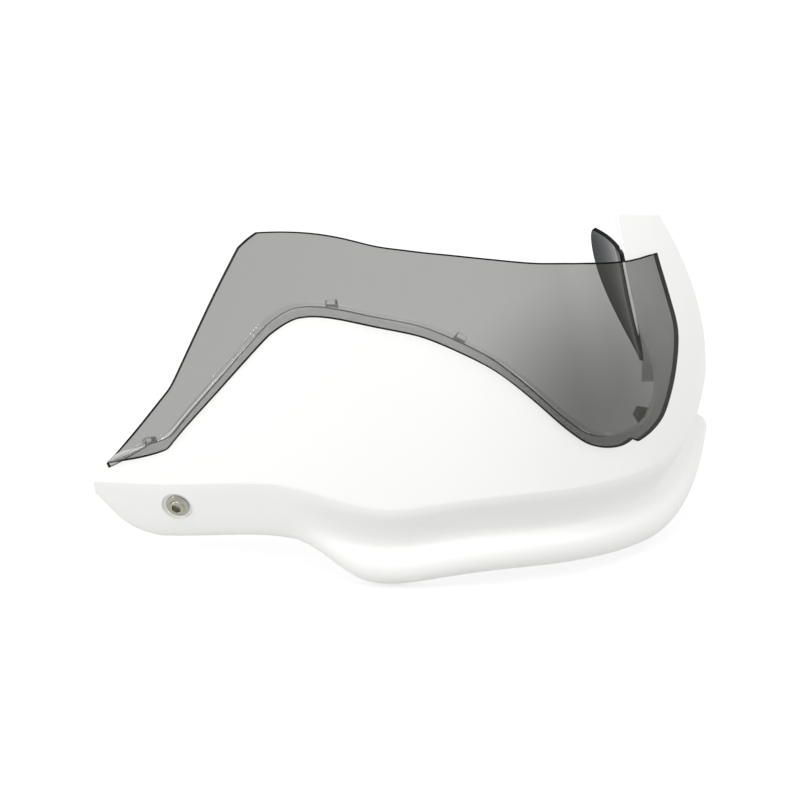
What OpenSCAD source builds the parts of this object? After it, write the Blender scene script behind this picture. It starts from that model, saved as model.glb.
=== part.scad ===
// Motorcycle hand guard: a moulded shell that wraps round the end of the handlebar, a smoke deflector
// whose lugs reach over its rim, and the bar-end bracket with its ring, disc, screw and clip nut.
// X runs along the handlebar with outboard at +X, the rider is at +Y and the road ahead at -Y.
// The origin is on the bar's axis, at the inboard face of the bracket's ring.

/* [Shell] */
// Wall of the shell
shell_wall = 3; // [2.6:0.1:3.4]
// How far the face leans back for each mm of height
face_lean = 0.22; // [0.19:0.01:0.25]
// How far the lowest edge lies under the ridge, along the belt
belt_drop = 47; // [45:0.5:50]
// How far the belt stands out past the ridge
belt_bulge = 1.5; // [0.5:0.25:2.5]
// Depth of the groove over the belt
groove_depth = 9; // [7:0.5:10]
// How far the lowest edge lies under the ridge, at the inner end
strip_drop = 38; // [36:0.5:40]
// Width of the lip that turns in along the lowest edge
lip_w = 9; // [6:0.5:11]

/* [Deflector] */
// Wall of the deflector
deflector_wall = 3; // [2.5:0.1:3.4]
// Gap between the shell and the deflector's flange
flange_gap = 0.3; // [0.2:0.05:0.4]
// Width of the flange that lies on the shell
flange_w = 6.5; // [6:0.25:8]
// How far the free sheet steps in behind the flange
step_in = 1.6; // [1:0.1:1.8]
// Width of the step between flange and free sheet
step_w = 3; // [2.5:0.25:4]
// Depth of the ear that points back past the outer end
ear_depth = 41; // [30:1:44]
// Width of the lugs that reach over the shell's rim
lug_w = 5.5; // [5:0.5:7]
// Wall of the lugs
lug_wall = 2.2; // [2:0.1:2.6]
// Height of the bosses inside the shell that the lugs are screwed to
lug_boss_h = 3.2; // [3:0.2:4.4]

/* [Small screws] */
// Head diameter of a deflector screw
small_head_d = 7; // [6:0.25:8]
// Head height of a deflector screw
small_head_h = 2.2; // [2:0.1:2.6]
// Shank diameter of a deflector screw
small_shank_d = 3; // [2.6:0.1:3.4]

/* [Lever screw] */
// Thread diameter of the lever screw
screw_d = 6; // [5:0.5:6.5]
// Head diameter of the lever screw
screw_head_d = 13; // [12:0.25:14]
// Head height of the lever screw
screw_head_h = 3.4; // [3:0.1:4]
// Length of the lever screw under its head
screw_len = 20; // [19:0.5:24]
// Width across the flats of the screw's hexagon socket
screw_socket = 5; // [4:0.5:6]
// Outer diameter of the metal bush in the shell
bush_d = 12; // [11:0.25:13]
// Diameter of the round sink for the screw's head
sink_d = 18.4; // [17:0.2:20]
// Depth of the round sink
sink_depth = 1.4; // [1:0.1:1.8]
// Height of the boss behind the shell's outer face
boss_h = 9; // [7:0.5:11]

/* [Clip nut] */
// Width of the spring clip
clip_w = 17; // [15:0.5:19]
// Height of the spring clip's plates
clip_h = 15; // [14:0.5:18]
// Sheet thickness of the spring clip
clip_sheet = 0.9; // [0.7:0.05:1.1]
// Gap between the clip's two plates
clip_gap = 2.6; // [2:0.1:3.5]
// Diameter of the nut's round barrel
nut_d = 10; // [9:0.25:11]
// Height of the nut's barrel
nut_h = 4.5; // [3.5:0.25:6]

/* [Bracket] */
// Bore of the bracket's ring
ring_bore = 28; // [26:0.5:30]
// Wall of the bracket's ring
ring_wall = 10; // [8:0.5:11]
// Length of the bracket's ring along the bar
ring_len = 22; // [20:0.5:24]
// Sheet thickness of the bracket's arm
arm_wall = 3.6; // [3:0.1:4]
// Height of the arm's upper leg
arm_upper = 15; // [13:0.5:16]
// Height of the arm's lower leg
arm_lower = 12; // [10:0.5:13]
// How far the arm's middle fold stands in from its edges
arm_fold = 5; // [4:0.25:6]

/* [Bar-end rings] */
// Outer diameter of the stepped disc
disc_d = 39; // [36:0.5:42]
// Thickness of the stepped disc
disc_t = 8; // [7:0.25:9]
// Bore of the stepped disc
disc_bore = 15.2; // [14:0.2:17]
// Depth of the recess in the stepped disc
disc_recess = 2.6; // [2:0.1:3.2]
// Inner diameter of the spacer ring
spacer_bore = 20.6; // [19:0.2:22]
// Length of the spacer ring
spacer_len = 5.6; // [5:0.1:7]
// Gap round the spacer ring, in the bracket's ring and in the disc
spacer_gap = 0.2; // [0.1:0.05:0.3]
// How much wider than the bore the spacer ring's seat is, on each side
seat_lip = 0.4; // [0.3:0.05:0.6]
// Gap between the disc and the bracket's ring
seat_gap = 0.2; // [0.1:0.05:0.4]

/* [Hidden] */
$fn = 64;
white = [0.96, 0.965, 0.96];
smoke = [0.42, 0.44, 0.45];
cast_grey = [0.88, 0.89, 0.89];
alloy = [0.8, 0.82, 0.81];
steel = [0.5, 0.5, 0.45];
plated = [0.72, 0.73, 0.72];

// The ridge: the line over the belt, from the shell's inner tip to the rear edge of its wing
RIDGE = [[-304, -96, -42], [-288, -102, -40], [-260, -112, -37], [-228, -122, -31], [-196, -131, -27],
    [-168, -139, -34], [-140, -143, -40], [-108, -143, -33], [-76, -140, -30], [-44, -131, -31],
    [-16, -114, -33], [8, -90, -35], [24, -62, -32], [33, -32, -22], [37, 0, -10], [39, 30, 2]];

// The rim of the shell, each as [place on the ridge, place over it, height over the ridge]
RIM = [[0, 0, 1.5], [0.35, 0.35, 8.5], [0.7, 0.7, 15], [1.05, 1.05, 18], [1.38, 1.38, 20],
    [1.68, 1.68, 22.6], [1.88, 1.88, 27], [2.08, 2.08, 34.5], [2.36, 2.36, 45], [2.62, 2.62, 54.5],
    [2.9, 2.9, 64.5], [3.17, 3.17, 74.5], [3.42, 3.42, 83.2], [3.7, 3.7, 90.2], [4.05, 4.05, 95.3],
    [4.45, 4.45, 98.6], [5, 5, 100.7], [5.6, 5.6, 101.2], [6.2, 6.2, 98.8], [6.8, 6.8, 93],
    [7.42, 7.42, 82], [8.03, 8.03, 71.5], [8.55, 8.55, 58], [8.95, 8.95, 45.5], [9.3, 9.3, 35],
    [9.6, 9.6, 28], [9.95, 9.95, 24], [10.25, 10.22, 23.6], [10.6, 10.52, 23.8], [10.95, 10.85, 25.8],
    [11.2, 11.1, 31], [11.45, 11.28, 38], [11.72, 11.36, 46], [12, 11.4, 55], [12.25, 11.2, 66],
    [12.5, 11.2, 78], [12.75, 11.25, 91], [12.95, 11.4, 110], [13.1, 11.72, 129], [13.15, 11.8, 131],
    [13.3, 12.3, 123], [13.45, 12.75, 114], [13.55, 13.05, 108]];

// The deflector's outline, each as [place and height of its lower edge, place and height of its top edge]
SHEET = [[0.6, 10.8, 0.6, 11.6], [0.85, 11.6, 0.78, 15], [1.15, 12.9, 1, 21.5], [1.42, 14.4, 1.2, 27.5],
    [1.73, 16.9, 1.42, 35.3], [1.92, 19, 1.62, 43], [1.97, 20.6, 1.78, 49.3], [2.02, 22.8, 1.88, 53.2],
    [2.2, 30, 2, 62.5], [2.48, 40, 2.18, 76.5], [2.76, 50, 2.36, 90.5], [3.03, 60, 2.53, 103.5],
    [3.3, 70, 2.7, 115.5], [3.55, 79, 2.83, 124.5], [3.57, 79.5, 2.83, 124.5], [3.8, 85.5, 2.97, 128.8],
    [4, 89, 3.12, 131.9], [4.03, 89.4, 3.12, 131.9], [4.25, 91.6, 3.45, 132.3], [4.6, 93.6, 3.95, 132.9],
    [5.06, 95.2, 4.6, 134.9], [5.5, 95.9, 5.1, 136.2], [5.95, 95.5, 5.7, 136.8], [6.35, 92.8, 6.15, 136.4],
    [6.7, 88.8, 6.7, 132.4], [7.34, 77.5, 7.4, 127.3], [7.92, 67.5, 8.05, 123.7], [8.44, 53.5, 8.75, 120.7],
    [8.75, 44.5, 9.15, 119.6], [9, 36.5, 9.5, 118.7], [9.2, 30.8, 9.75, 117.9], [9.36, 26.5, 9.95, 117.1],
    [9.52, 22.6, 10.12, 116.5], [9.7, 20.2, 10.28, 115.9], [9.87, 18.6, 10.43, 115.2],
    [10.04, 17.8, 10.56, 114.6], [10.19, 17.6, 10.68, 114], [10.32, 18.3, 10.78, 113.4],
    [10.43, 19.5, 10.86, 112.9], [10.45, 19.7, 10.88, 112.8], [10.55, 17.5, 10.97, 112.3],
    [10.57, 17.4, 10.98, 112.2], [10.74, 18.4, 11.09, 111.5], [10.92, 20, 11.2, 110.8],
    [11.18, 23.3, 11.36, 109.6], [11.32, 27, 11.45, 108.9], [11.44, 31, 11.54, 108.3],
    [11.68, 39.5, 11.68, 107.2], [11.88, 48.7, 11.82, 106], [12.04, 56.5, 11.95, 104.9],
    [12.12, 64, 12.05, 103.9], [12.12, 75, 12.11, 103.1], [12.17, 89, 12.17, 102.3],
    [12.23, 98, 12.22, 101.8], [12.26, 100.8, 12.26, 101.3]];

// Where the deflector's lugs cross the rim, each as [place on the ridge, height over it, slope of the rim]
FOOT = [1.5, 21, 15];
CORNER = [4.6, 99.2, 6];
MIDDLE = [7.27, 84.8, -30];
FIN = [10.98, 28, 38];

// Where the lever screw sits, as [place on the ridge, share of the way down the section]
LEVER = [2.1, 0.335];

// Root of the deflector's ear, each as [place on the ridge, height over it, share of the ear's depth]
EAR = [[11.02, 57, 0.02], [11.04, 62, 0.22], [11.07, 71, 0.6], [11.12, 83, 0.93], [11.17, 95, 1.03],
    [11.24, 104, 1.02], [11.3, 110, 0.97], [11.33, 113.8, 0.86]];
ear_wall = 2.6;

function at_ends(i, n) = max(0, min(n, i));

// Point of the smooth curve that control points P pull on, from -1 at the first to len(P) at the last
function curve(P, t) =
    let (n = len(P) - 1, i = floor(t), f = t - i)
    ((1 - f) ^ 3 * P[at_ends(i - 1, n)] + (3 * f ^ 3 - 6 * f ^ 2 + 4) * P[at_ends(i, n)]
        + (-3 * f ^ 3 + 3 * f ^ 2 + 3 * f + 1) * P[at_ends(i + 1, n)] + f ^ 3 * P[at_ends(i + 2, n)]) / 6;

function ease(x) = let (c = max(0, min(1, x))) c * c * (3 - 2 * c);
function blend(a, b, k) = a * (1 - k) + b * k;
function unit(v) = v / norm(v);

// Level direction out of the shell, at a place on the ridge
function outward(t) = let (d = curve(RIDGE, t + 0.05) - curve(RIDGE, t - 0.05)) unit([d[1], -d[0], 0]);

// How far the shell stands out at a height over the ridge: the face leans back, the wing is barrel-shaped
face_crown = 0.0008;
wing_lean = -0.05;
wing_crown = 0.0026;
function setback(t, h) =
    let (k = ease((t - 9.5) / 3.5))
    -(blend(face_lean, wing_lean, k) * h + blend(face_crown, wing_crown, k) * h * h);

// The section under the ridge as [out, up]: a plain strip at the inner end, groove and belt elsewhere
STRIP = [[0, 0], [-0.8, -0.15], [-2.5, -0.32], [-4, -0.5], [-5.3, -0.65], [-6.6, -0.76]];
STRIP_END = [[-7.6, -0.84], [-8.6, -0.92], [-9.6, -1]];
GROOVE = [[0, 0], [-0.05, -0.13], [-0.67, -0.3], [-1, -0.47], [-0.83, -0.57], [0, -0.66]];
groove_start = 4;
groove_full = 5.7;
function section(t, u) =
    let (
        k = ease((t - groove_start) / (groove_full - groove_start)),
        tip = 0.18 + 0.82 * ease((t + 0.2) / 2),
        end = 1 - 0.16 * ease((t - 11) / 2.6),
        down = blend(strip_drop * tip, belt_drop * end, k),
        turn = ease((t - 0.8) / 1.4),
        strip_lip = [[-7.8, -0.86], [-10.5, -0.96], [-10.5 - lip_w, -1]],
        strip = concat(STRIP, [for (i = [0 : 2]) blend(STRIP_END[i], strip_lip[i], turn)]),
        belt = concat([for (p = GROOVE) [p[0] * groove_depth, p[1]]],
            [[belt_bulge, -0.82], [belt_bulge - 2, -0.965], [belt_bulge - 2 - lip_w, -1.01]]),
        p = curve([for (i = [0 : 8]) blend([strip[i][0] * tip, strip[i][1]], belt[i], k)], -1 + u * 10)
    )
    [p[0], p[1] * down];

// The shell's outer skin: s is the height over the ridge, or minus the share of the section under it
function skin(t, s) =
    let (p = s >= 0 ? [setback(t, s), s] : section(t, -s))
    curve(RIDGE, t) + outward(t) * p[0] + [0, 0, p[1]];

function normal(t, s) =
    let (e = 0.02, v = s > 0.5 ? 0.5 : 0.01)
    unit(cross(skin(t + e, s) - skin(t - e, s), skin(t, s + v) - skin(t, s - v)));

// A point on the skin, moved outwards by d
function off_skin(t, s, d) = skin(t, s) + normal(t, s) * d;

// Faces of a closed sheet between two nets of points, each of cols columns and rows rows
function sheet_faces(cols, rows) =
    let (o = cols * rows)
    concat(
        [for (i = [0 : cols - 2], j = [0 : rows - 2])
            let (a = i * rows + j, b = a + rows, c = b + 1, d = a + 1)
            each [[a, d, c], [a, c, b], [o + a, o + b, o + c], [o + a, o + c, o + d]]],
        [for (i = [0 : cols - 2])
            let (a = i * rows, b = a + rows, c = b + rows - 1, d = b - 1)
            each [[a, b, o + b], [a, o + b, o + a], [c, d, o + d], [c, o + d, o + c]]],
        [for (j = [0 : rows - 2])
            let (a = j, d = a + 1, b = (cols - 1) * rows + j, c = b + 1)
            each [[d, a, o + a], [d, o + a, o + d], [b, c, o + c], [b, o + c, o + b]]]);

// A closed sheet: outer and inner are lists of columns of points
module sheet(outer, inner) {
    polyhedron(points = concat([for (c = outer) each c], [for (c = inner) each c]),
        faces = sheet_faces(len(outer), len(outer[0])), convexity = 8);
}

// Puts its children at a point of the skin, with their Z along the outward normal
module on_skin(t, s) {
    n = normal(t, s);
    translate(skin(t, s))
        rotate([0, acos(n[2]), atan2(n[1], n[0])])
            children();
}

shell_cols = 70;
under_rows = 13;
over_rows = 8;

// One place of the shell's net, as [t, s]
function shell_place(i, j) =
    let (r = curve(RIM, -1 + i / shell_cols * (len(RIM) + 1)))
    j <= under_rows
        ? [r[0], -(1 - j / under_rows)]
        : let (g = (j - under_rows) / over_rows) [blend(r[0], r[1], g), r[2] * g];

function shell_net(d) =
    [for (i = [0 : shell_cols])
        [for (j = [0 : under_rows + over_rows]) let (p = shell_place(i, j)) off_skin(p[0], p[1], d)]];

bush_hole_d = bush_d + 0.2;

// A lug crosses the rim at the origin: X runs along the rim, Y up and Z out
lug_gap = 1.2;
lug_root = 2.4;
lug_hole_y = -7.5;
lug_seat = -shell_wall - lug_boss_h;
lug_back = lug_seat - 0.2 - lug_wall;
module on_lug(p) {
    on_skin(p[0], p[1])
        rotate([0, 0, 90 + p[2]])
            children();
}

// Section of a hook that holds the arm, as [out, up] from the arm's fold
HOOK = [[10.4, 16.2], [10.4, 19.4], [-2.8, 19.4], [-3.8, 18.4], [-3.8, 8.8], [-1.3, 8.8], [-1.3, 16.2]];
hook_w = 8;
HOOKS = [7.5, 8.9];
module arm_hook(t) {
    n = outward(t);
    translate(behind_groove(t))
        rotate([0, 0, atan2(n[1], n[0])])
            rotate([90, 0, 0])
                linear_extrude(height = hook_w, center = true)
                    polygon(HOOK);
}

module shell() {
    color(white)
    difference() {
        union() {
            sheet(shell_net(0), shell_net(-shell_wall));
            on_skin(LEVER[0], -LEVER[1])
                translate([0, 0, -boss_h])
                    cylinder(d = bush_d + 6, h = boss_h - shell_wall / 2);
            for (p = [FOOT, CORNER, MIDDLE, FIN])
                on_lug(p)
                    translate([0, lug_hole_y, lug_seat])
                        cylinder(d = small_shank_d + 5, h = lug_boss_h + 1);
            for (t = HOOKS)
                arm_hook(t);
        }
        on_skin(LEVER[0], -LEVER[1]) {
            translate([0, 0, -sink_depth])
                cylinder(d = sink_d, h = 8);
            translate([0, 0, -boss_h - 1])
                cylinder(d = bush_hole_d, h = boss_h + 2);
        }
        for (p = [FOOT, CORNER, MIDDLE, FIN])
            on_lug(p)
                translate([0, lug_hole_y, lug_seat - 1])
                    cylinder(d = small_shank_d + 0.1, h = lug_boss_h + 2.4);
    }
}

sheet_cols = 80;
// Distances from the deflector's lower edge, in order: across the flange, over the step
STEPS = [0, flange_w / 2, flange_w, flange_w + step_w / 3, flange_w + step_w * 2 / 3, flange_w + step_w];
free_rows = 6;

// How far the deflector's outer face lies off the shell's skin, at a distance x from its lower edge
function sheet_off(t, x) =
    flange_gap + deflector_wall - step_in * ease((x - flange_w) / step_w) * (1 - ease((t - 9.6) / 0.8));

function sheet_column(i, d) =
    let (
        r = curve(SHEET, -1 + i / sheet_cols * (len(SHEET) + 1)),
        long = norm(skin(r[2], r[3]) - skin(r[0], r[1])),
        room = flange_w + step_w,
        k = min(1, long / (2 * room)),
        X = concat([for (x = STEPS) x * k],
            [for (j = [1 : free_rows]) blend(room * k, long, j / free_rows)])
    )
    [for (x = X)
        let (g = x / long, t = blend(r[0], r[2], g), h = blend(r[1], r[3], g))
        off_skin(t, h, sheet_off(t, x / k) - d)];

function sheet_net(d) = [for (i = [0 : sheet_cols]) sheet_column(i, d)];

ear_cols = 14;
ear_rows = 7;
// The ear's section: it leaves the sheet pointing straight back and curls inwards
function ear_reach(q) = [-0.24 * q * (1 - q) - 0.42 * q * q, 1.2 * q * (1 - q) + 0.95 * q * q, 0];
// The ear starts inside the sheet, so that the two are one moulding
function ear_net(d) =
    [for (j = [0 : ear_rows])
        [for (i = [0 : ear_cols])
            let (
                r = curve(EAR, -1 + i / ear_cols * (len(EAR) + 1)),
                q = j / ear_rows,
                side = unit(cross(ear_reach(q + 0.05) - ear_reach(q - 0.05), [0, 0, 1]))
            )
            off_skin(r[0], r[1], flange_gap + 1) + ear_reach(q) * ear_depth * r[2] + side * (ear_wall / 2 - d)]];

// A lug: a web inside the rim, and a plate that reaches down behind the shell
module lug(p) {
    on_lug(p)
        difference() {
            union() {
                translate([-lug_w / 2, lug_gap, lug_back])
                    cube([lug_w, lug_root, 1.2 - lug_back]);
                translate([0, 0, lug_back])
                    linear_extrude(height = lug_wall)
                        hull() {
                            translate([-lug_w / 2, lug_gap])
                                square([lug_w, lug_root]);
                            translate([0, lug_hole_y])
                                circle(d = small_head_d + 2.5);
                        }
            }
            translate([0, lug_hole_y, lug_back - 1])
                cylinder(d = small_shank_d + 0.2, h = lug_wall + 2);
        }
}

module deflector() {
    color(smoke)
    union() {
        sheet(sheet_net(0), sheet_net(deflector_wall));
        sheet(ear_net(0), ear_net(ear_wall));
        for (p = [FOOT, CORNER, MIDDLE, FIN])
            lug(p);
    }
}

module deflector_screw(p) {
    color(plated)
    on_lug(p)
        translate([0, lug_hole_y, lug_back - 0.1]) {
            difference() {
                translate([0, 0, -small_head_h])
                    cylinder(d = small_head_d, h = small_head_h);
                translate([0, 0, -small_head_h - 1])
                    cylinder(d = 2.9, h = 2.3, $fn = 6);
            }
            cylinder(d = small_shank_d, h = lug_wall + lug_boss_h + 1.4);
        }
}

module bush() {
    color(alloy)
    on_skin(LEVER[0], -LEVER[1])
        translate([0, 0, -boss_h - 0.2])
            difference() {
                cylinder(d = bush_d, h = boss_h + 0.2 - sink_depth);
                translate([0, 0, -1])
                    cylinder(d = screw_d + 0.6, h = boss_h + 2);
            }
}

// The screw's head stands on the bush, so its seat is the sink's floor
module lever_screw() {
    color(steel)
    on_skin(LEVER[0], -LEVER[1])
        translate([0, 0, -sink_depth])
            difference() {
                union() {
                    rotate_extrude()
                        polygon([[0, 0], [screw_head_d / 2, 0], [screw_head_d / 2, 1.2],
                            [screw_head_d / 2 - 1.6, 1.7], [screw_head_d / 2 - 2.2, screw_head_h - 0.6],
                            [screw_head_d / 2 - 2.8, screw_head_h], [0, screw_head_h]]);
                    translate([0, 0, -screw_len])
                        rotate_extrude()
                            polygon([[0, 0], [screw_d / 2 - 0.8, 0], [screw_d / 2, 0.8],
                                [screw_d / 2, screw_len + 0.1], [0, screw_len + 0.1]]);
                }
                translate([0, 0, screw_head_h - 2.4])
                    cylinder(d = screw_socket / cos(30), h = 3, $fn = 6);
            }
}

// The clip and its nut sit behind the boss, on the screw
clip_front = -boss_h - 0.4;
clip_back = clip_front - clip_sheet * 2 - clip_gap;

module clip_nut_clip() {
    ear = 4.5;
    lead = 2.2;
    color(steel)
    on_skin(LEVER[0], -LEVER[1])
        difference() {
            translate([0, clip_w / 2, 0])
                rotate([90, 0, 0])
                    linear_extrude(height = clip_w)
                        polygon([[-clip_h / 2, clip_front], [clip_h / 2 - 1, clip_front],
                            [clip_h / 2 + 1.2, clip_front - 1.4], [clip_h / 2 + 1.2, clip_back + 1.4],
                            [clip_h / 2 - 1, clip_back], [-clip_h / 2, clip_back],
                            [-clip_h / 2 - ear, clip_back - lead],
                            [-clip_h / 2 - ear - 0.4, clip_back - lead + clip_sheet],
                            [-clip_h / 2, clip_back + clip_sheet], [clip_h / 2 - 1.2, clip_back + clip_sheet],
                            [clip_h / 2 + 1.2 - clip_sheet, clip_back + 1.6],
                            [clip_h / 2 + 1.2 - clip_sheet, clip_front - 1.6],
                            [clip_h / 2 - 1.2, clip_front - clip_sheet], [-clip_h / 2, clip_front - clip_sheet]]);
            translate([0, 0, clip_back - 4])
                cylinder(d = screw_d + 1, h = 12);
            translate([0, 0, clip_back - 4])
                cylinder(d = nut_d - 2 + 0.2, h = 4 + clip_sheet + 0.1);
            translate([-clip_h / 2 - ear - 1, -clip_w / 6, clip_back - 4])
                cube([ear + 2, clip_w / 3, 6]);
        }
}

module clip_nut_barrel() {
    color(steel)
    on_skin(LEVER[0], -LEVER[1])
        difference() {
            union() {
                translate([0, 0, clip_back - 0.1 - nut_h])
                    cylinder(d = nut_d, h = nut_h);
                translate([0, 0, clip_back - 0.2])
                    cylinder(d = nut_d - 2, h = clip_sheet + 0.2);
            }
            translate([0, 0, clip_back - nut_h - 2])
                cylinder(d = screw_d + 0.1, h = nut_h + 6);
        }
}

// The arm runs inside the shell behind the groove, leaves it at the outer corner and climbs to the ring
ring_d = ring_bore + 2 * ring_wall;
arm_start = 7;
arm_leave = 10.1;
arm_gap = 0.6;
groove_share = 0.42;
function behind_groove(t) = off_skin(t, -groove_share, -shell_wall - arm_gap);
ARM = concat([for (k = [0 : 6]) behind_groove(blend(arm_start, arm_leave, k / 6))],
    [[-11, -86, -48], [-1, -68, -38], [6, -50, -25], [ring_len / 2, -34, -14],
        [ring_len / 2, -ring_d / 2, -8], [ring_len / 2, -ring_d / 2 + 6, -5]]);
arm_cols = 44;
arm_taper = 0.28;

// Section of the arm as [out, up]: two legs that meet in a fold
function arm_section() =
    [[arm_fold, arm_upper], [arm_fold - arm_wall * 0.95, arm_upper + 0.3],
        [-arm_wall, 0.5], [-arm_wall, -0.5], [arm_fold - arm_wall * 0.95, -arm_lower - 0.3],
        [arm_fold, -arm_lower], [0, 0]];

function arm_ring(i) =
    let (
        v = -1 + i / arm_cols * (len(ARM) + 1),
        slim = 1 - arm_taper * ease((i / arm_cols - 0.55) / 0.4),
        p = curve(ARM, v),
        d = curve(ARM, v + 0.1) - curve(ARM, v - 0.1),
        n = unit([d[1], -d[0], 0]),
        side = cross(n, unit(d)),
        up = unit(side[2] < 0 ? -side : side)
    )
    [for (q = arm_section()) p + n * q[0] * slim + up * q[1] * slim];

module arm() {
    rings = [for (i = [0 : arm_cols]) arm_ring(i)];
    m = len(rings[0]);
    last = arm_cols * m;
    polyhedron(points = [for (r = rings) each r],
        faces = concat(
            [for (i = [0 : arm_cols - 1], j = [0 : m - 1])
                let (a = i * m + j, b = i * m + (j + 1) % m)
                each [[a, b, b + m], [a, b + m, a + m]]],
            [[for (j = [m - 1 : -1 : 0]) j], [for (j = [0 : m - 1]) last + j]]),
        convexity = 6);
}

disc_x = ring_len + seat_gap;
// The spacer ring's seat lies half in the bracket's ring and half in the disc
seat_d = ring_bore + 2 * seat_lip;
seat_depth = spacer_len - disc_recess + seat_gap;
spacer_d = seat_d - 2 * spacer_gap;

module bracket() {
    color(cast_grey)
    difference() {
        union() {
            rotate([0, 90, 0])
                cylinder(d = ring_d, h = ring_len, $fn = 96);
            arm();
        }
        translate([-1, 0, 0])
            rotate([0, 90, 0])
                cylinder(d = ring_bore, h = ring_len + 2, $fn = 96);
        translate([ring_len - seat_depth, 0, 0])
            rotate([0, 90, 0])
                cylinder(d = seat_d, h = seat_depth + 1, $fn = 96);
    }
}

// Seen from inboard the disc has a round recess, which holds the end of the spacer ring
module bar_end_disc() {
    color(alloy)
    translate([disc_x, 0, 0])
        rotate([0, 90, 0])
            rotate_extrude($fn = 96)
                polygon([[seat_d / 2, 0], [disc_d / 2 - 0.6, 0], [disc_d / 2, 0.6],
                    [disc_d / 2, disc_t - 1.2], [disc_d / 2 - 1.2, disc_t], [disc_bore / 2 + 0.6, disc_t],
                    [disc_bore / 2, disc_t - 0.6], [disc_bore / 2, disc_recess], [seat_d / 2, disc_recess]]);
}

module spacer_ring() {
    color(plated)
    translate([disc_x + disc_recess - seat_gap - spacer_len, 0, 0])
        rotate([0, 90, 0])
            rotate_extrude($fn = 96)
                polygon([[spacer_bore / 2, 0], [spacer_d / 2 - 0.4, 0], [spacer_d / 2, 0.4],
                    [spacer_d / 2, spacer_len - 0.4], [spacer_d / 2 - 0.4, spacer_len],
                    [spacer_bore / 2, spacer_len]]);
}

shell();
deflector();
bracket();
bar_end_disc();
spacer_ring();
bush();
lever_screw();
clip_nut_clip();
clip_nut_barrel();
deflector_screw(FOOT);  // deflector_screw_foot
deflector_screw(CORNER);  // deflector_screw_corner
deflector_screw(MIDDLE);  // deflector_screw_middle
deflector_screw(FIN);  // deflector_screw_fin
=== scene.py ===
"""Looks of a motorcycle hand guard: moulded shell, smoke deflector, bar-end bracket, rings and fixings."""

import logging
import math
from dataclasses import dataclass, field
from enum import Enum
from typing import Callable, Sequence

import bmesh
import bpy
from mathutils import Matrix, Vector


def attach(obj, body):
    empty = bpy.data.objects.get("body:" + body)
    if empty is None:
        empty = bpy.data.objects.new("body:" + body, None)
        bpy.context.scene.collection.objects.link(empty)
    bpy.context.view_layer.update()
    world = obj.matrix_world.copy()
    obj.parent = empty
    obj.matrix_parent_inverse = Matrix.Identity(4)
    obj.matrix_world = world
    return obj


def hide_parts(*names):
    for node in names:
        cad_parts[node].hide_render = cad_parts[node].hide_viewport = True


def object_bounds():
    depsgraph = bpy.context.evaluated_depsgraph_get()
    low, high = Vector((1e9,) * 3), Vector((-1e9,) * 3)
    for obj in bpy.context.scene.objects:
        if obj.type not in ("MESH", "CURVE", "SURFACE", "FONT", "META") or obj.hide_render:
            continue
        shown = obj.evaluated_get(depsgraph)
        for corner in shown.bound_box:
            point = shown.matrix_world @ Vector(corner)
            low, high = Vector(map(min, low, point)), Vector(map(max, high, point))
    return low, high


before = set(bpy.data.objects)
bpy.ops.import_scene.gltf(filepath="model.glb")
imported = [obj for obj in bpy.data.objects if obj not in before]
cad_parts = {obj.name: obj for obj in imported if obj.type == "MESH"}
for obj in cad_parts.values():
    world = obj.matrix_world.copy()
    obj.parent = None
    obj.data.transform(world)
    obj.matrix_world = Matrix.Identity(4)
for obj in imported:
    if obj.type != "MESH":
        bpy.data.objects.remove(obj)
cad_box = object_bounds()

log = logging.getLogger("hand_guard")
MM = 0.001
ROOT = "root"
# Waves that a wave texture of scale 1 draws in a metre.
WAVES_PER_METRE = 20 / (2 * math.pi)

Point = Sequence[float]


class Slot(Enum):
    """Material slots, by name."""

    SHELL = "shell_plastic"
    SMOKE = "smoke_sheet"
    CASTING = "coated_casting"
    TURNED = "turned_alloy"
    ALLOY = "bare_alloy"
    ZINC = "zinc_steel"
    SPRING = "spring_steel"


# Numbers and curves


def ease(x: float) -> float:
    """Smooth step from 0 at x = 0 to 1 at x = 1."""
    c = max(0.0, min(1.0, x))
    return c * c * (3 - 2 * c)


def blend(a: float, b: float, k: float) -> float:
    """Value a share k of the way from a to b."""
    return a * (1 - k) + b * k


def curve(points: Sequence[Point], t: float) -> Vector:
    """Point of the smooth curve that control points pull on.

    Args:
        points: Control points, all of one length.
        t: Place on the curve, from -1 at the first point to len(points) at the last.

    Returns:
        The point, with as many numbers as a control point has.
    """
    last = len(points) - 1
    i = math.floor(t)
    f = t - i
    weights = ((1 - f) ** 3, 3 * f**3 - 6 * f**2 + 4, -3 * f**3 + 3 * f**2 + 3 * f + 1, f**3)
    total = Vector((0.0,) * len(points[0]))
    for k, weight in enumerate(weights):
        total += Vector(points[max(0, min(last, i - 1 + k))]) * (weight / 6)
    return total


def linear(code: str) -> tuple[float, float, float]:
    """Linear colour of an sRGB hex value such as F4F5F2."""
    parts = [int(code[k : k + 2], 16) / 255 for k in (0, 2, 4)]
    return tuple(c / 12.92 if c <= 0.04045 else ((c + 0.055) / 1.055) ** 2.4 for c in parts)


# Materials


def add_node(tree: bpy.types.NodeTree, kind: str, inputs: dict | None = None, **settings) -> bpy.types.Node:
    """Adds a shader node with its settings and links.

    Args:
        tree: Node tree of the material.
        kind: Node type, without the ShaderNode prefix.
        inputs: Input name or number to a value, or to an output socket that is linked to it.
        **settings: Attributes of the node itself.

    Returns:
        The new node.
    """
    made = tree.nodes.new("ShaderNode" + kind)
    for name, value in settings.items():
        setattr(made, name, value)
    for name, value in (inputs or {}).items():
        if isinstance(value, bpy.types.NodeSocket):
            tree.links.new(value, made.inputs[name])
        else:
            made.inputs[name].default_value = value
    return made


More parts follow.
